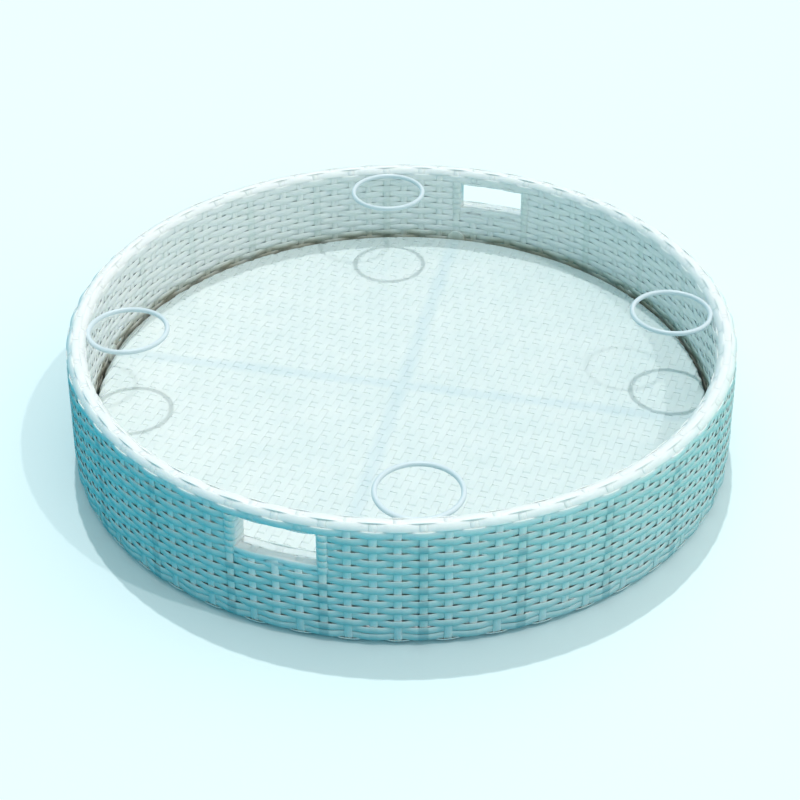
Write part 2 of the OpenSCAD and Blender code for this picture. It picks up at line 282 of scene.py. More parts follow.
def wovenStrip(name, shade, light, dim):    # extruded polyethylene: satin, milky white, lets light through
    material, tree, shader = newMaterial(name)
    place = addNode(tree, "ShaderNodeTexCoord").outputs["Object"]
    spot = addNode(tree, "ShaderNodeSeparateXYZ", {0: place}).outputs
    flat = addNode(tree, "ShaderNodeCombineXYZ", {"X": spot["X"], "Y": spot["Y"]}).outputs[0]
    reach = addNode(tree, "ShaderNodeVectorMath", {0: flat}, operation="LENGTH").outputs["Value"]
    cloud = addNode(tree, "ShaderNodeTexNoise",
                    {"Vector": place, "Scale": 1 / plastic["cloud"], "Detail": 2.0})
    tone = addNode(tree, "ShaderNodeMix", {0: cloud.outputs["Fac"], 6: linear(shade), 7: linear(light)},
                   data_type="RGBA")
    # mixes in the painted shade of the posts, stakes and rods, then the brown tint of the gap
    for mask, colour in ((wallShade(tree, spot, reach), dim),
                         (floorShade(tree, flat, reach), behind["rodShadeColour"]),
                         (gapTintMask(tree, place, spot, reach), gapTint["colour"])):
        tone = addNode(tree, "ShaderNodeMix", {0: mask, 6: tone.outputs[2], 7: linear(colour)},
                       data_type="RGBA")
    grain = addNode(tree, "ShaderNodeTexNoise",
                    {"Vector": place, "Scale": 1 / plastic["grain"], "Detail": 3.0})
    bump = addNode(tree, "ShaderNodeBump",
                   {"Height": grain.outputs["Fac"], "Strength": plastic["grainStrength"],
                    "Distance": plastic["grainDepth"]})
    tree.links.new(tone.outputs[2], shader.inputs["Base Color"])
    tree.links.new(bump.outputs["Normal"], shader.inputs["Normal"])
    shader.inputs["Roughness"].default_value = plastic["roughness"]
    shader.inputs["IOR"].default_value = plastic["index"]
    shader.inputs["Subsurface Weight"].default_value = plastic["glow"]
    shader.inputs["Subsurface Radius"].default_value = (1.0, 1.0, 0.9)
    shader.inputs["Subsurface Scale"].default_value = plastic["glowReach"]
    return material


def powderCoat():    # white powder coat on bent wire: smooth gloss with a faint orange peel
    material, tree, shader = newMaterial("whitePowderCoat")
    place = addNode(tree, "ShaderNodeTexCoord").outputs["Object"]
    peel = addNode(tree, "ShaderNodeTexNoise", {"Vector": place, "Scale": 1 / fine["peel"], "Detail": 2.0})
    bump = addNode(tree, "ShaderNodeBump",
                   {"Height": peel.outputs["Fac"], "Strength": 0.08, "Distance": 0.0004})
    tree.links.new(bump.outputs["Normal"], shader.inputs["Normal"])
    shader.inputs["Base Color"].default_value = linear("#d5e2e8")
    shader.inputs["Roughness"].default_value = 0.3
    return material


def millTube():    # drawn aluminium tube as it leaves the mill: soft metal with lines along the draw
    material, tree, shader = newMaterial("drawnAluminiumTube")
    place = addNode(tree, "ShaderNodeTexCoord").outputs["Object"]
    scratch = addNode(tree, "ShaderNodeTexNoise", {"Vector": place, "Scale": 1 / fine["draw"], "Detail": 4.0})
    rough = addNode(tree, "ShaderNodeMapRange",
                    {"Value": scratch.outputs["Fac"], "To Min": 0.35, "To Max": 0.55})
    tree.links.new(rough.outputs["Result"], shader.inputs["Roughness"])
    shader.inputs["Base Color"].default_value = linear("#c4c8ca")
    shader.inputs["Metallic"].default_value = 1.0
    return material


def closedFoam():    # closed cell foam board: matt, fine skinned cells
    material, tree, shader = newMaterial("closedCellFoam")
    place = addNode(tree, "ShaderNodeTexCoord").outputs["Object"]
    cells = addNode(tree, "ShaderNodeTexVoronoi", {"Vector": place, "Scale": 1 / fine["cell"]})
    tone = addNode(tree, "ShaderNodeMix",
                   {0: cells.outputs["Distance"], 6: linear("#e6edf2"), 7: linear("#d5dfe6")},
                   data_type="RGBA")
    bump = addNode(tree, "ShaderNodeBump",
                   {"Height": cells.outputs["Distance"], "Strength": 0.35, "Distance": 0.0008})
    tree.links.new(tone.outputs[2], shader.inputs["Base Color"])
    tree.links.new(bump.outputs["Normal"], shader.inputs["Normal"])
    shader.inputs["Roughness"].default_value = 0.75
    return material


strip = wovenStrip("paintedLightPolyethyleneStrip", "#ebf4f2", "#f8fbf8", "#d9e4e1")    # painted light: a lighter copy of the one white strip, for the inner wall, rim, stakes, sills, headers and jambs
paintedShadeStrip = wovenStrip("paintedShadePolyethyleneStrip", "#d3e2e2", "#e4edeb", "#80adb5")    # painted shade: a darker copy of the same white strip, for the outer wall, foot and floor
coat, tube, foam = powderCoat(), millTube(), closedFoam()
finishes = {"flat_strip": strip, "ring_wire": coat, "frame_tube": tube, "foam": foam}
for part in frame["record"]["subparts"]:
    mesh = frame["nodes"][part["node"]].data
    mesh.materials.clear()
    mesh.materials.append(finishes[part["material_slot"]])
print("materials set")


# Section that the node trees share

def sweepStrip(tree, path, swell, wide, thick, eased=True):    # flat strip along a path, facing as it says
    facing = addNode(tree, "GeometryNodeInputNamedAttribute", {"Name": "facing"},
                     data_type="FLOAT_VECTOR").outputs[0]
    curve = addNode(tree, "GeometryNodeMeshToCurve", {"Mesh": path})
    turned = addNode(tree, "GeometryNodeSetCurveNormal", {"Curve": curve.outputs[0], "Normal": facing},
                     mode="FREE")
    sized = addNode(tree, "GeometryNodeSetCurveRadius", {"Curve": turned.outputs[0], "Radius": swell})
    flat = addNode(tree, "GeometryNodeCurvePrimitiveQuadrilateral", {"Width": thick, "Height": wide})
    if eased:
        edge = addNode(tree, "ShaderNodeMath", {0: thick, 1: weave["edgeShare"]}, operation="MULTIPLY")
        flat = addNode(tree, "GeometryNodeFilletCurve",
                       {"Curve": flat.outputs[0], "Radius": edge.outputs[0], "Count": 1}, mode="POLY")
    swept = addNode(tree, "GeometryNodeCurveToMesh",
                    {"Curve": sized.outputs[0], "Profile Curve": flat.outputs[0], "Fill Caps": True})
    return addNode(tree, "GeometryNodeSetShadeSmooth",
                   {"Geometry": swept.outputs[0], "Shade Smooth": eased}).outputs[0]


# Strips round the wall, the rim and the foot

def ringRowsTree():    # a strip round the tray for each point of the base mesh, in and out between stakes
    tree, given = newTree("ringRows", {
        "Stakes": "Int", "Steps": "Int", "Relief": "Float", "Strip Width": "Float",
        "Strip Thickness": "Float", "Swell": "Float", "Wobble": "Float", "Opening Turn": "Float",
        "Dive": "Float", "Material": "Material"})
    count = addNode(tree, "ShaderNodeMath", {0: given["Stakes"], 1: given["Steps"]},
                    operation="MULTIPLY").outputs[0]
    ring = addNode(tree, "GeometryNodeMeshCircle", {"Vertices": count, "Radius": 0.1}).outputs[0]
    index = addNode(tree, "GeometryNodeInputIndex").outputs[0]
    part = addNode(tree, "ShaderNodeMath", {0: index, 1: count}, operation="DIVIDE").outputs[0]
    turn = addNode(tree, "ShaderNodeMath", {0: part, 1: math.tau}, operation="MULTIPLY").outputs[0]
    ring = addNode(tree, "GeometryNodeStoreNamedAttribute",
                   {"Geometry": ring, "Name": "turn", "Value": turn}).outputs[0]
    rings = addNode(tree, "GeometryNodeInstanceOnPoints",
                    {"Points": given["Geometry"], "Instance": ring}).outputs[0]
    rings = addNode(tree, "GeometryNodeRealizeInstances", {"Geometry": rings}).outputs[0]

    turn = addNode(tree, "GeometryNodeInputNamedAttribute", {"Name": "turn"}).outputs[0]
    row = addNode(tree, "GeometryNodeInputNamedAttribute", {"Name": "row"}).outputs[0]
    cut = addNode(tree, "GeometryNodeInputNamedAttribute", {"Name": "cut"}).outputs[0]
    out = addNode(tree, "GeometryNodeInputNamedAttribute", {"Name": "out"},
                  data_type="FLOAT_VECTOR").outputs[0]
    centre = addNode(tree, "GeometryNodeInputNamedAttribute", {"Name": "centre"},
                     data_type="FLOAT_VECTOR").outputs[0]
    half = addNode(tree, "ShaderNodeMath", {0: given["Stakes"], 1: 0.5}, operation="MULTIPLY").outputs[0]
    rowTurn = addNode(tree, "ShaderNodeMath", {0: row, 1: math.pi}, operation="MULTIPLY").outputs[0]
    phase = addNode(tree, "ShaderNodeMath", {0: turn, 1: half, 2: rowTurn},
                    operation="MULTIPLY_ADD").outputs[0]
    wave = addNode(tree, "ShaderNodeMath", {0: phase}, operation="COSINE").outputs[0]
    wave = addNode(tree, "ShaderNodeMath", {0: wave, 1: weave["square"]}, operation="MULTIPLY").outputs[0]
    wave = addNode(tree, "ShaderNodeMath", {0: wave}, operation="SINE").outputs[0]

    # cut is 1 where a strip stops at the hand openings, and -1 where it is only there
    side = addNode(tree, "ShaderNodeMath", {0: turn}, operation="COSINE").outputs[0]
    side = addNode(tree, "ShaderNodeMath", {0: side}, operation="ABSOLUTE").outputs[0]
    limit = addNode(tree, "ShaderNodeMath", {0: given["Opening Turn"]}, operation="SINE").outputs[0]
    inside = addNode(tree, "ShaderNodeMath", {0: side, 1: limit}, operation="SUBTRACT").outputs[0]
    inside = addNode(tree, "ShaderNodeMath", {0: inside, 1: cut}, operation="MULTIPLY").outputs[0]
    uncut = addNode(tree, "FunctionNodeCompare", {0: cut, 1: 0.0}, operation="EQUAL").outputs[0]
    near = addNode(tree, "ShaderNodeMapRange",
                   {"Value": inside, "From Min": 0.0, "From Max": given["Dive"], "To Min": 1.0,
                    "To Max": 0.0}).outputs[0]
    near = addNode(tree, "ShaderNodeMath", {0: near, 1: uncut}, operation="SUBTRACT",
                   use_clamp=True).outputs[0]
    wave = addNode(tree, "ShaderNodeMix", {0: near, 2: wave, 3: -1.0}).outputs[0]
    depth = addNode(tree, "ShaderNodeMath", {0: wave, 1: given["Relief"]}, operation="MULTIPLY").outputs[0]
    shift = addNode(tree, "ShaderNodeVectorMath", {0: out, "Scale": depth}, operation="SCALE").outputs[0]
    spot = addNode(tree, "ShaderNodeVectorMath", {0: centre, 1: shift}, operation="ADD").outputs[0]
    spot = addNode(tree, "ShaderNodeVectorRotate", {"Vector": spot, "Angle": turn},
                   rotation_type="Z_AXIS").outputs[0]
    facing = addNode(tree, "ShaderNodeVectorRotate", {"Vector": out, "Angle": turn},
                     rotation_type="Z_AXIS").outputs[0]
    noise = addNode(tree, "ShaderNodeTexNoise",
                    {"Vector": spot, "Scale": weave["wobbleScale"], "Detail": 0.0}).outputs["Color"]
    noise = addNode(tree, "ShaderNodeVectorMath", {0: noise, 1: (0.5, 0.5, 0.5)},
                    operation="SUBTRACT").outputs[0]
    noise = addNode(tree, "ShaderNodeVectorMath", {0: noise, "Scale": given["Wobble"]},
                    operation="SCALE").outputs[0]
    swell = addNode(tree, "ShaderNodeMath", {0: wave, 1: given["Swell"], 2: 1.0},
                    operation="MULTIPLY_ADD").outputs[0]
    pinch = addNode(tree, "ShaderNodeTexNoise",
                    {"Vector": spot, "Scale": weave["pinchScale"], "Detail": 0.0}).outputs["Fac"]
    pinch = addNode(tree, "ShaderNodeMath", {0: pinch, 1: 2 * weave["pinch"], 2: -weave["pinch"]},
                    operation="MULTIPLY_ADD").outputs[0]
    swell = addNode(tree, "ShaderNodeMath", {0: swell, 1: pinch}, operation="ADD").outputs[0]

    rings = addNode(tree, "GeometryNodeStoreNamedAttribute",
                    {"Geometry": rings, "Name": "facing", "Value": facing},
                    data_type="FLOAT_VECTOR").outputs[0]
    rings = addNode(tree, "GeometryNodeStoreNamedAttribute",
                    {"Geometry": rings, "Name": "swell", "Value": swell}).outputs[0]
    rings = addNode(tree, "GeometryNodeSetPosition",
                    {"Geometry": rings, "Position": spot, "Offset": noise}).outputs[0]
    gone = addNode(tree, "ShaderNodeMath", {0: inside, 1: 0.0}, operation="LESS_THAN").outputs[0]
    rings = addNode(tree, "GeometryNodeDeleteGeometry", {"Geometry": rings, "Selection": gone}).outputs[0]

    swell = addNode(tree, "GeometryNodeInputNamedAttribute", {"Name": "swell"}).outputs[0]
    strips = sweepStrip(tree, rings, swell, given["Strip Width"], given["Strip Thickness"])
    strips = addNode(tree, "GeometryNodeRealizeInstances", {"Geometry": strips}).outputs[0]
    strips = addNode(tree, "GeometryNodeSetMaterial",
                     {"Geometry": strips, "Material": given["Material"]}).outputs[0]
    addNode(tree, "NodeGroupOutput", {0: strips})
    return tree


def rowMesh(name, rows):    # rows holds (centre, outward direction, parity, cut) for each strip
    centres = [row[0] for row in rows]
    return pathMesh(name, centres, centre=centres, out=[row[1] for row in rows],
                    row=[float(row[2]) for row in rows], cut=[float(row[3]) for row in rows])


def rowsRound(centre, radius, angles, firstRow, cut=0):    # rows side by side round a rail
    rows = []
    for k, angle in enumerate(angles):
        out = Vector((math.cos(angle), 0, math.sin(angle)))
        rows.append((centre + radius * out, out, firstRow + k, cut))
    return rows


def bakeRows(name, rows, changes, *replaced):
    values = {"Stakes": weave["stakes"], "Steps": weave["steps"], "Relief": weave["relief"],
              "Strip Width": weave["stripWide"], "Strip Thickness": weave["stripThick"],
              "Swell": weave["swell"], "Wobble": weave["wobble"], "Opening Turn": weave["openingTurn"],
              "Dive": weave["dive"], "Material": strip}
    values.update(changes)
    bake(name, rowMesh(name, rows), ringRows, values, "flat_strip", *replaced)


def wallRows(low, high, count, side, firstRow):
    rows = []
    for k in range(count):
        z = low + (high - low) * (k + 0.5) / count
        cut = 1 if z > sillLow.z else 0
        rows.append((Vector((wallX(z) + side * midR, 0, z)), side * wallOut, firstRow + k, cut))
    return rows


rowPitch = (wallHigh - wallLow) / weave["outerRows"]
innerCount = math.ceil((wallHigh - deck) / rowPitch) + weave["hiddenRows"]
outerRows = wallRows(wallLow, wallHigh, weave["outerRows"], 1, 0)
innerRows = wallRows(wallHigh - innerCount * rowPitch, wallHigh, innerCount, -1, 0)
eighth = math.pi / 4
footR = midR - weave["footInset"]
rimRows = rowsRound(rail, midR, [eighth * k for k in range(weave["rimRows"])], weave["outerRows"])
footRows = rowsRound(foot, footR, [math.pi + eighth * k for k in range(weave["footRows"])], 0)
inner = {"Relief": 0.0011, "Strip Width": 0.0090}
rim = {"Relief": 0.0007, "Swell": 0.05, "Strip Width": 0.0094}
ringRows = ringRowsTree()
# the outer wall and the foot get the darker copy of the strip, a painted shade
bakeRows("outerStrips", outerRows, {"Material": paintedShadeStrip}, "outer_weave")
bakeRows("innerStrips", innerRows, inner, "inner_weave")
bakeRows("rimStrips", rimRows, rim, "rim_weave")
bakeRows("footStrips", footRows, {"Material": paintedShadeStrip}, "base_weave")


# Stakes: one hoop over the rim and under the foot at each place, cut short at the hand openings

def hoopsTree():    # repeats the base mesh as a strip round the tray, away from or only at the hand openings
    tree, given = newTree("hoops", {
        "Count": "Int", "Strip Width": "Float", "Strip Thickness": "Float", "Opening Turn": "Float",
        "Keep": "Float", "Seed": "Int", "Material": "Material"})
    hoop = sweepStrip(tree, given["Geometry"], 1.0, given["Strip Width"], given["Strip Thickness"])
    ring = addNode(tree, "GeometryNodeMeshCircle", {"Vertices": given["Count"], "Radius": 1.0}).outputs[0]
    place = addNode(tree, "GeometryNodeInputPosition").outputs[0]
    place = addNode(tree, "ShaderNodeSeparateXYZ", {0: place}).outputs
    turn = addNode(tree, "ShaderNodeMath", {0: place["Y"], 1: place["X"]}, operation="ARCTAN2").outputs[0]
    ring = addNode(tree, "GeometryNodeStoreNamedAttribute",
                   {"Geometry": ring, "Name": "turn", "Value": turn}).outputs[0]
    side = addNode(tree, "ShaderNodeMath", {0: place["X"]}, operation="ABSOLUTE").outputs[0]
    limit = addNode(tree, "ShaderNodeMath", {0: given["Opening Turn"]}, operation="SINE").outputs[0]
    inside = addNode(tree, "ShaderNodeMath", {0: side, 1: limit}, operation="SUBTRACT").outputs[0]
    inside = addNode(tree, "ShaderNodeMath", {0: inside, 1: given["Keep"]}, operation="MULTIPLY").outputs[0]
    gone = addNode(tree, "ShaderNodeMath", {0: inside, 1: 0.0}, operation="LESS_THAN").outputs[0]
    ring = addNode(tree, "GeometryNodeDeleteGeometry", {"Geometry": ring, "Selection": gone}).outputs[0]
    stir = addNode(tree, "FunctionNodeRandomValue",
                   {2: -weave["stir"], 3: weave["stir"], "Seed": given["Seed"]}).outputs[1]
    turn = addNode(tree, "GeometryNodeInputNamedAttribute", {"Name": "turn"}).outputs[0]
    turn = addNode(tree, "ShaderNodeMath", {0: turn, 1: stir}, operation="ADD").outputs[0]
    spin = addNode(tree, "ShaderNodeCombineXYZ", {"Z": turn}).outputs[0]
    middle = addNode(tree, "ShaderNodeCombineXYZ").outputs[0]
    ring = addNode(tree, "GeometryNodeSetPosition", {"Geometry": ring, "Position": middle}).outputs[0]
    hoops = addNode(tree, "GeometryNodeInstanceOnPoints",
                    {"Points": ring, "Instance": hoop, "Rotation": spin}).outputs[0]
    hoops = addNode(tree, "GeometryNodeRealizeInstances", {"Geometry": hoops}).outputs[0]
    hoops = addNode(tree, "GeometryNodeSetMaterial",
                    {"Geometry": hoops, "Material": given["Material"]}).outputs[0]
    addNode(tree, "NodeGroupOutput", {0: hoops})
    return tree


def sectionPath(name, spots):    # closed loop; spots holds (place, direction it faces) along one stake
    edges = [(i, (i + 1) % len(spots)) for i in range(len(spots))]
    return pathMesh(name, [s[0] for s in spots], edges, facing=[s[1] for s in spots])


def arcSpots(centre, radius, start, end, count):
    spots = []
    for k in range(count + 1):
        angle = start + (end - start) * k / count
        out = Vector((math.cos(angle), 0, math.sin(angle)))
        spots.append((centre + radius * out, out))
    return spots


hoops = hoopsTree()
footArc = arcSpots(foot, footR, math.pi, math.tau, weave["halfSteps"])
rimArc = arcSpots(rail, midR, 0, math.pi, weave["halfSteps"])
stakeValues = {"Count": weave["stakes"], "Strip Width": weave["stakeWide"],
               "Strip Thickness": weave["stakeThick"], "Opening Turn": weave["openingTurn"], "Keep": 1.0,
               "Seed": 3, "Material": strip}
bake("stakes", sectionPath("stakes", footArc + rimArc), hoops, stakeValues, "flat_strip")


# Sills and headers of the hand openings

sill = {
    "x": wallX((sillLow.z + sillHigh.z) / 2),
    "middle": (sillLow.z + sillHigh.z) / 2,
    "low": sillLow.z,
    "top": sillHigh.z - 0.0014,
    "shoulder": 0.003,
    "slope": 0.3,
    "lift": 0.0005,         # of the upper strip on each face
    "inset": 0.0004,        # of the lower one
    "spread": 0.45,         # how far out the two strips on top lie
}
sillStrip = {"Opening Turn": weave["clearTurn"], "Strip Width": 0.0094, "Relief": 0.0004}
headerStrip = {"Opening Turn": weave["clearTurn"], "Relief": 0.0005}


def sillSpots():    # up the outer face, over the top and down the inner face
    low, top = sill["top"] - sill["shoulder"], sill["top"]
    corners = [(midR, low, 1, sill["slope"]), (midR - sill["shoulder"], top, sill["slope"], 1),
               (sill["shoulder"] - midR, top, -sill["slope"], 1), (-midR, low, -1, sill["slope"])]
    return [(Vector((sill["x"] + x, 0, z)), Vector((outX, 0, outZ)).normalized())
            for x, z, outX, outZ in corners]


def sillRows():    # two strips on each face and two on top
    upper, inset, spread = sill["middle"] + sill["lift"], midR - sill["inset"], midR * sill["spread"]
    spots = [(midR, upper, 1, 0, 1), (inset, sill["low"], 1, 0, 0), (spread, sill["top"], 0, 1, 0),
             (-spread, sill["top"], 0, 1, 1), (-midR, upper, -1, 0, 0), (-inset, sill["low"], -1, 0, 1)]
    return [(Vector((sill["x"] + x, 0, z)), Vector((outX, 0, outZ)), parity, -1)
            for x, z, outX, outZ, parity in spots]


cutValues = dict(stakeValues, Keep=-1.0)
headerArc = arcSpots(rail, midR, 0, math.tau, weave["wholeSteps"])[:-1]
headerRows = rowsRound(rail, midR, [-eighth * (k + 1) for k in range(weave["headerRows"])], 1, -1)
bake("sillStakes", sectionPath("sillStakes", footArc + sillSpots()), hoops, cutValues, "flat_strip")
bake("headerStakes", sectionPath("headerStakes", headerArc), hoops, cutValues, "flat_strip")
bakeRows("headerStrips", headerRows, headerStrip, "header_wrap_front", "header_wrap_back")
bakeRows("sillStrips", sillRows(), sillStrip, "sill_wrap_front", "sill_wrap_back")


# Windings round the jambs

jamb = {
    "turn": math.radians(7.5),    # from the middle of the opening
    "wide": 0.0138,
    "corner": 0.0050,
    "clear": 0.0012,        # how far it stands out from the skins
    "turns": 6,
    "overlap": 1.03,
    "tilt": 0.02,           # how far a turn leans at random, in radians
}
jambPitch = (wallHigh - jambLow.z) / jamb["turns"]


def windingTree():    # turns of strip along a straight line: the base mesh is one turn
    tree, given = newTree("windings", {
        "Turns": "Int", "Start": "Vector", "Step": "Vector", "Strip Width": "Float",
        "Strip Thickness": "Float", "Seed": "Int", "Material": "Material"})
    loop = sweepStrip(tree, given["Geometry"], 1.0, given["Strip Width"], given["Strip Thickness"])
    line = addNode(tree, "GeometryNodeMeshLine",
                   {"Count": given["Turns"], "Start Location": given["Start"],
                    "Offset": given["Step"]}).outputs[0]
    tilt = jamb["tilt"]
    stir = addNode(tree, "FunctionNodeRandomValue",
                   {0: (-tilt, -tilt, 0), 1: (tilt, tilt, 0), "Seed": given["Seed"]},
                   data_type="FLOAT_VECTOR").outputs[0]
    loops = addNode(tree, "GeometryNodeInstanceOnPoints",
                    {"Points": line, "Instance": loop, "Rotation": stir}).outputs[0]
    loops = addNode(tree, "GeometryNodeRealizeInstances", {"Geometry": loops}).outputs[0]
    loops = addNode(tree, "GeometryNodeSetMaterial",
                    {"Geometry": loops, "Material": given["Material"]}).outputs[0]
    addNode(tree, "NodeGroupOutput", {0: loops})
    return tree


def roundedLoop(halfX, halfY, corner, count=4):
    spots = []
    for quadrant, (sx, sy) in enumerate(((1, 1), (-1, 1), (-1, -1), (1, -1))):
        middle = Vector((sx * (halfX - corner), sy * (halfY - corner), 0))
        for k in range(count + 1):
            angle = quarter * (quadrant + k / count)
            out = Vector((math.cos(angle), math.sin(angle), 0))
            spots.append((middle + corner * out, out))
    return spots


def windJamb(name, side, end):
    azimuth = end * quarter + side * jamb["turn"]
    spin = Matrix.Rotation(azimuth, 3, "Z")
    loop = roundedLoop(midR + jamb["clear"], (jamb["wide"] - weave["stripThick"]) / 2, jamb["corner"])
    loop = [(spin @ place, spin @ out) for place, out in loop]
    low, high = jambLow.z + jambPitch / 2, wallHigh - jambPitch / 2
    axis = Vector((math.cos(azimuth), math.sin(azimuth), 0))
    start = axis * wallX(low) + Vector((0, 0, low))
    stop = axis * wallX(high) + Vector((0, 0, high))
    values = {"Turns": jamb["turns"], "Start": start, "Step": (stop - start) / (jamb["turns"] - 1),
              "Strip Width": jambPitch * jamb["overlap"], "Strip Thickness": weave["stripThick"], "Seed": 5,
              "Material": strip}
    bake("jambTurns_" + name, sectionPath(name, loop), windings, values, "flat_strip", "jamb_wrap_" + name)


windings = windingTree()
for end, endName in ((-1, "front"), (1, "back")):
    for side, sideName in ((-1, "left"), (1, "right")):
        windJamb(endName + "_" + sideName, side, end)


# Floor: strips along Y over stakes along X

floor = {
    "lanes": 91,
    "pitch": 0.0088,
    "stripWide": 0.0087,
    "stripSpan": 33,        # length of the longest strip, in stake pitches
    "stripSteps": 8,        # points on a strip from one stake to the next
    "stakeLanes": 31,
    "stakePitch": 0.0248,
    "stakeWide": 0.0078,
    "stakeSpan": 92,        # length of the longest stake, in strip pitches
    "stakeSteps": 3,
    "relief": 0.0016,       # how far a strip dips under a stake
    "under": -0.92,         # the dip is full below this cosine, and has ended above the next
    "level": -0.71,
    "swell": 0.05,
    "wobble": 0.0003,
    "lift": 0.0006,         # of the strips above the middle of the CAD skin
    "sink": 0.0006,         # of the stakes below the strips
    "rollTurn": math.radians(110),    # how far the ends turn down over the rim tube
}
rimLow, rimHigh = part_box("floor_rim")
edgeRadius = floorHigh.x - skinR + railR - (rimHigh.z - rimLow.z) / 2
rollRadius = floorHigh.x - edgeRadius - weave["depth"]


def floorTree():    # strips along Y that weave in and out, clipped to a disc and turned down at its edge
    tree, given = newTree("floorStrips", {
        "Lanes": "Int", "Pitch": "Float", "Cross Pitch": "Float", "Steps": "Int", "Length": "Float",
        "Height": "Float", "Edge Radius": "Float", "Roll Radius": "Float", "Relief": "Float",
        "Strip Width": "Float", "Strip Thickness": "Float", "Swell": "Float", "Wobble": "Float",
        "Turn": "Float", "Material": "Material"})
    span = addNode(tree, "ShaderNodeMath", {0: given["Lanes"], 1: 1.0}, operation="SUBTRACT").outputs[0]
    span = addNode(tree, "ShaderNodeMath", {0: span, 1: given["Pitch"]}, operation="MULTIPLY").outputs[0]
    first = addNode(tree, "ShaderNodeMath", {0: span, 1: -0.5}, operation="MULTIPLY").outputs[0]
    start = addNode(tree, "ShaderNodeCombineXYZ", {"X": first}).outputs[0]
    offset = addNode(tree, "ShaderNodeCombineXYZ", {"X": given["Pitch"]}).outputs[0]
    lanes = addNode(tree, "GeometryNodeMeshLine",
                    {"Count": given["Lanes"], "Start Location": start, "Offset": offset}).outputs[0]
    step = addNode(tree, "ShaderNodeMath", {0: given["Cross Pitch"], 1: given["Steps"]},
                   operation="DIVIDE").outputs[0]
    many = addNode(tree, "ShaderNodeMath", {0: given["Length"], 1: step}, operation="DIVIDE").outputs[0]
    back = addNode(tree, "ShaderNodeMath", {0: given["Length"], 1: -0.5}, operation="MULTIPLY").outputs[0]
    start = addNode(tree, "ShaderNodeCombineXYZ", {"Y": back}).outputs[0]
    offset = addNode(tree, "ShaderNodeCombineXYZ", {"Y": step}).outputs[0]
    line = addNode(tree, "GeometryNodeMeshLine",
                   {"Count": many, "Start Location": start, "Offset": offset}).outputs[0]
    lines = addNode(tree, "GeometryNodeInstanceOnPoints", {"Points": lanes, "Instance": line}).outputs[0]
    lines = addNode(tree, "GeometryNodeRealizeInstances", {"Geometry": lines}).outputs[0]

    place = addNode(tree, "GeometryNodeInputPosition").outputs[0]
    axes = addNode(tree, "ShaderNodeSeparateXYZ", {0: place}).outputs
    lane = addNode(tree, "ShaderNodeMath", {0: axes["X"], 1: given["Pitch"]}, operation="DIVIDE").outputs[0]
    along = addNode(tree, "ShaderNodeMath", {0: axes["Y"], 1: given["Cross Pitch"]},
                    operation="DIVIDE").outputs[0]
    phase = addNode(tree, "ShaderNodeMath", {0: lane, 1: along}, operation="ADD").outputs[0]
    phase = addNode(tree, "ShaderNodeMath", {0: phase, 1: math.pi}, operation="MULTIPLY").outputs[0]
    wave = addNode(tree, "ShaderNodeMath", {0: phase}, operation="COSINE").outputs[0]
    wave = addNode(tree, "ShaderNodeMapRange",
                   {"Value": wave, "From Min": floor["under"], "From Max": floor["level"], "To Min": -1.0,
                    "To Max": 0.0}).outputs[0]
    swell = addNode(tree, "ShaderNodeMath", {0: wave, 1: given["Swell"], 2: 1.0},
                    operation="MULTIPLY_ADD").outputs[0]
    depth = addNode(tree, "ShaderNodeMath", {0: wave, 1: given["Relief"]}, operation="MULTIPLY").outputs[0]
    reach = addNode(tree, "ShaderNodeVectorMath", {0: place}, operation="LENGTH").outputs[1]
    past = addNode(tree, "ShaderNodeMath", {0: reach, 1: given["Edge Radius"]},
                   operation="SUBTRACT").outputs[0]
    past = addNode(tree, "ShaderNodeMath", {0: past, 1: 0.0}, operation="MAXIMUM").outputs[0]
    bend = addNode(tree, "ShaderNodeMath", {0: past, 1: given["Roll Radius"]}, operation="DIVIDE").outputs[0]
    gone = addNode(tree, "ShaderNodeMath", {0: bend, 1: floor["rollTurn"]},
                   operation="GREATER_THAN").outputs[0]
    sine = addNode(tree, "ShaderNodeMath", {0: bend}, operation="SINE").outputs[0]
    cosine = addNode(tree, "ShaderNodeMath", {0: bend}, operation="COSINE").outputs[0]
    held = addNode(tree, "ShaderNodeMath", {0: reach, 1: given["Edge Radius"]},
                   operation="MINIMUM").outputs[0]
    rolled = addNode(tree, "ShaderNodeMath", {0: given["Roll Radius"], 1: depth}, operation="ADD").outputs[0]
    away = addNode(tree, "ShaderNodeMath", {0: rolled, 1: sine, 2: held}, operation="MULTIPLY_ADD").outputs[0]
    drop = addNode(tree, "ShaderNodeMath", {0: rolled, 1: cosine}, operation="MULTIPLY").outputs[0]
    drop = addNode(tree, "ShaderNodeMath", {0: drop, 1: given["Roll Radius"]},
                   operation="SUBTRACT").outputs[0]
    level = addNode(tree, "ShaderNodeMath", {0: drop, 1: given["Height"]}, operation="ADD").outputs[0]
    ray = addNode(tree, "ShaderNodeVectorMath", {0: place}, operation="NORMALIZE").outputs[0]
    spot = addNode(tree, "ShaderNodeVectorMath", {0: ray, "Scale": away}, operation="SCALE").outputs[0]
    raised = addNode(tree, "ShaderNodeCombineXYZ", {"Z": level}).outputs[0]
    spot = addNode(tree, "ShaderNodeVectorMath", {0: spot, 1: raised}, operation="ADD").outputs[0]
    facing = addNode(tree, "ShaderNodeVectorMath", {0: ray, "Scale": sine}, operation="SCALE").outputs[0]
    upward = addNode(tree, "ShaderNodeCombineXYZ", {"Z": cosine}).outputs[0]
    facing = addNode(tree, "ShaderNodeVectorMath", {0: facing, 1: upward}, operation="ADD").outputs[0]
    noise = addNode(tree, "ShaderNodeTexNoise",
                    {"Vector": place, "Scale": weave["wobbleScale"], "Detail": 0.0}).outputs["Color"]
    noise = addNode(tree, "ShaderNodeVectorMath", {0: noise, 1: (0.5, 0.5, 0.5)},
                    operation="SUBTRACT").outputs[0]
    noise = addNode(tree, "ShaderNodeVectorMath", {0: noise, "Scale": given["Wobble"]},
                    operation="SCALE").outputs[0]

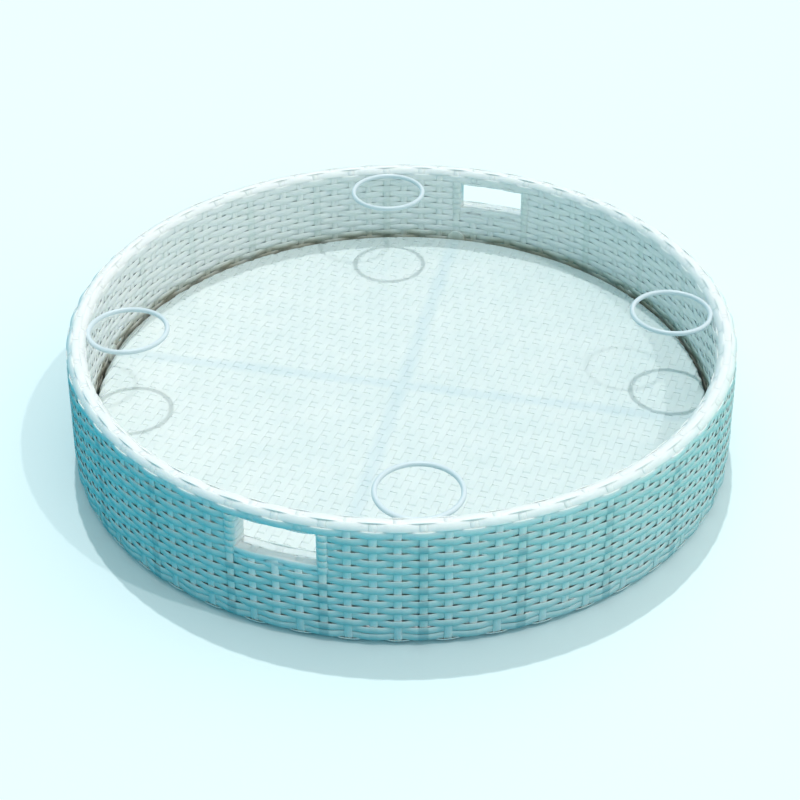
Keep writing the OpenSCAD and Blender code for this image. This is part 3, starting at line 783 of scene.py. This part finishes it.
    lines = addNode(tree, "GeometryNodeStoreNamedAttribute",
                    {"Geometry": lines, "Name": "facing", "Value": facing},
                    data_type="FLOAT_VECTOR").outputs[0]
    for label, value in (("swell", swell), ("gone", gone)):
        lines = addNode(tree, "GeometryNodeStoreNamedAttribute",
                        {"Geometry": lines, "Name": label, "Value": value}).outputs[0]
    lines = addNode(tree, "GeometryNodeSetPosition",
                    {"Geometry": lines, "Position": spot, "Offset": noise}).outputs[0]
    gone = addNode(tree, "GeometryNodeInputNamedAttribute", {"Name": "gone"}).outputs[0]
    lines = addNode(tree, "GeometryNodeDeleteGeometry", {"Geometry": lines, "Selection": gone}).outputs[0]
    swell = addNode(tree, "GeometryNodeInputNamedAttribute", {"Name": "swell"}).outputs[0]
    strips = sweepStrip(tree, lines, swell, given["Strip Width"], given["Strip Thickness"], eased=False)
    spin = addNode(tree, "ShaderNodeCombineXYZ", {"Z": given["Turn"]}).outputs[0]
    strips = addNode(tree, "GeometryNodeTransform", {"Geometry": strips, "Rotation": spin}).outputs[0]
    strips = addNode(tree, "GeometryNodeRealizeInstances", {"Geometry": strips}).outputs[0]
    strips = addNode(tree, "GeometryNodeSetMaterial",
                     {"Geometry": strips, "Material": given["Material"]}).outputs[0]
    addNode(tree, "NodeGroupOutput", {0: strips})
    return tree


floorStrips = floorTree()
stripHeight = deck - weave["depth"] + floor["lift"]
# the floor gets the darker copy of the strip, a painted shade
floorValues = {
    "Lanes": floor["lanes"], "Pitch": floor["pitch"], "Cross Pitch": floor["stakePitch"],
    "Steps": floor["stripSteps"], "Length": floor["stripSpan"] * floor["stakePitch"],
    "Height": stripHeight, "Edge Radius": edgeRadius, "Roll Radius": rollRadius, "Relief": floor["relief"],
    "Strip Width": floor["stripWide"], "Strip Thickness": weave["stripThick"], "Swell": floor["swell"],
    "Wobble": floor["wobble"], "Turn": 0.0, "Material": paintedShadeStrip}
bake("floorStrips", pathMesh("floorStrips", [(0, 0, 0)]), floorStrips, floorValues, "flat_strip",
     "floor_weave")
floorValues.update({
    "Lanes": floor["stakeLanes"], "Pitch": floor["stakePitch"], "Cross Pitch": floor["pitch"],
    "Steps": floor["stakeSteps"], "Length": floor["stakeSpan"] * floor["pitch"],
    "Height": stripHeight - floor["sink"], "Relief": 0.0, "Strip Width": floor["stakeWide"],
    "Strip Thickness": weave["stakeThick"], "Swell": 0.0, "Turn": -quarter})
bake("floorStakes", pathMesh("floorStakes", [(0, 0, 0)]), floorStrips, floorValues, "flat_strip")


# Light, floor and backdrop

stage = {
    "seen": "#e6f5f7",      # what the camera sees of the floor
    "half": 40.0,
    "deep": "#00a5bc",      # pool water that the wall is lit by
    "bright": "#7fdcd6",    # the same on the right, where the sun falls on it
    "near": 0.1,            # where on the right the bright water begins, and where it is full
    "far": 0.9,
}
sky = {
    "seen": "#e2f6f9",
    "strength": 0.84,
    "high": "#f6fbfa",
    "deep": "#00aebf",      # low sky, which stands for the water further off
    "bright": "#a4ebe4",
    "towards": (0.36, 0.16, 0.92),    # middle of the white part
    "low": 0.12,            # cosines from there at which the white begins, and at which it is full
    "full": 0.62,
}
suns = {    # azimuth, elevation, strength and size in degrees
    "key": (111, 70, 1.12, 1.0),
    "glint": (0, 61, 0.5, 1.2),    # sunlight thrown back from the right
}


def waterTone(tree, right, colours):    # from deep to bright towards the right
    sunny = addNode(tree, "ShaderNodeMapRange",
                    {"Value": right, "From Min": stage["near"], "From Max": stage["far"]},
                    interpolation_type="SMOOTHSTEP").outputs[0]
    return addNode(tree, "ShaderNodeMix",
                   {0: sunny, 6: linear(colours["deep"]), 7: linear(colours["bright"])},
                   data_type="RGBA").outputs[2]


def seenRays(tree):    # 1 for what the camera sees, itself or through something clear
    path = addNode(tree, "ShaderNodeLightPath").outputs
    return addNode(tree, "ShaderNodeMath", {0: path["Is Camera Ray"], 1: path["Is Transmission Ray"]},
                   operation="MAXIMUM").outputs[0]


def paleStage():    # matt floor: pale to the camera, pool blue in the light that it throws back
    material, tree, shader = newMaterial("poolDeckWhite")
    place = addNode(tree, "ShaderNodeTexCoord").outputs["Object"]
    right = addNode(tree, "ShaderNodeSeparateXYZ", {0: place}).outputs["X"]
    tone = addNode(tree, "ShaderNodeMix",
                   {0: seenRays(tree), 6: waterTone(tree, right, stage), 7: linear(stage["seen"])},
                   data_type="RGBA")
    tree.links.new(tone.outputs[2], shader.inputs["Base Color"])
    shader.inputs["Roughness"].default_value = 1.0
    shader.inputs["Specular IOR Level"].default_value = 0.0
    return material


def addStage():
    mesh = bpy.data.meshes.new("deck")
    half = stage["half"]
    mesh.from_pydata([(-half, -half, 0), (half, -half, 0), (half, half, 0), (-half, half, 0)], [],
                     [(0, 1, 2, 3)])
    mesh.materials.append(paleStage())
    deckPlane = bpy.data.objects.new("deck", mesh)
    bpy.context.scene.collection.objects.link(deckPlane)


def addSun(name, azimuth, elevation, strength, size):
    lamp = bpy.data.lights.new(name, "SUN")
    lamp.energy = strength
    lamp.angle = math.radians(size)
    sun = bpy.data.objects.new(name, lamp)
    bpy.context.scene.collection.objects.link(sun)
    turn, up = math.radians(azimuth), math.radians(elevation)
    towards = Vector((math.cos(turn) * math.cos(up), math.sin(turn) * math.cos(up), math.sin(up)))
    sun.rotation_euler = towards.to_track_quat("Z", "Y").to_euler()


def addWorld():
    world = bpy.data.worlds.new("paleSky")
    bpy.context.scene.world = world
    world.use_nodes = True
    tree = world.node_tree
    soft = tree.nodes["Background"]
    way = addNode(tree, "ShaderNodeTexCoord").outputs["Generated"]
    climb = addNode(tree, "ShaderNodeVectorMath", {0: way, 1: sky["towards"]},
                    operation="DOT_PRODUCT").outputs["Value"]
    climb = addNode(tree, "ShaderNodeMapRange",
                    {"Value": climb, "From Min": sky["low"], "From Max": sky["full"]},
                    interpolation_type="SMOOTHSTEP").outputs[0]
    right = addNode(tree, "ShaderNodeSeparateXYZ", {0: way}).outputs["X"]
    tone = addNode(tree, "ShaderNodeMix", {0: climb, 6: waterTone(tree, right, sky), 7: linear(sky["high"])},
                   data_type="RGBA")
    tree.links.new(tone.outputs[2], soft.inputs["Color"])
    soft.inputs["Strength"].default_value = sky["strength"]
    pale = addNode(tree, "ShaderNodeBackground", {"Color": linear(sky["seen"]), "Strength": 1.0})
    both = addNode(tree, "ShaderNodeMixShader", {0: seenRays(tree), 1: soft.outputs[0], 2: pale.outputs[0]})
    tree.links.new(both.outputs[0], tree.nodes["World Output"].inputs["Surface"])


addStage()
for name, sun in suns.items():
    addSun(name, *sun)
addWorld()


# Camera at the photograph's place

view = {
    "azimuth": 289.5,       # where the camera stands, seen from the tray
    "elevation": 35.411,
    "distance": 1.9538,
    "roll": -0.2875,
    "pictureWide": 800,
    "focalPixels": 1634.92,
    "sensorWide": 36,       # in millimetres, as Blender takes it
    "aim": (-0.0022, -0.0693, 0.0816),    # right of, nearer than and above the tray's origin
}


def addCamera():
    turn = Matrix.Rotation(math.radians(view["azimuth"] + 90), 3, "Z")
    up = math.radians(view["elevation"])
    forward = Vector((0, math.cos(up), -math.sin(up)))
    right = Vector((1, 0, 0))
    raised = right.cross(forward)
    roll = math.radians(view["roll"])
    rolled = math.cos(roll) * right + math.sin(roll) * raised
    top = -math.sin(roll) * right + math.cos(roll) * raised
    place = Vector(view["aim"]) - forward * view["distance"]
    lens = bpy.data.cameras.new("photoView")
    lens.sensor_width = view["sensorWide"]
    lens.lens = view["focalPixels"] / view["pictureWide"] * lens.sensor_width
    camera = bpy.data.objects.new("photoView", lens)
    bpy.context.scene.collection.objects.link(camera)
    axes = Matrix((turn @ rolled, turn @ top, turn @ -forward)).transposed()
    camera.matrix_world = Matrix.Translation(turn @ place) @ axes.to_4x4()
    bpy.context.scene.camera = camera


addCamera()
bpy.context.scene.view_settings.view_transform = "Standard"
print("camera and light set")
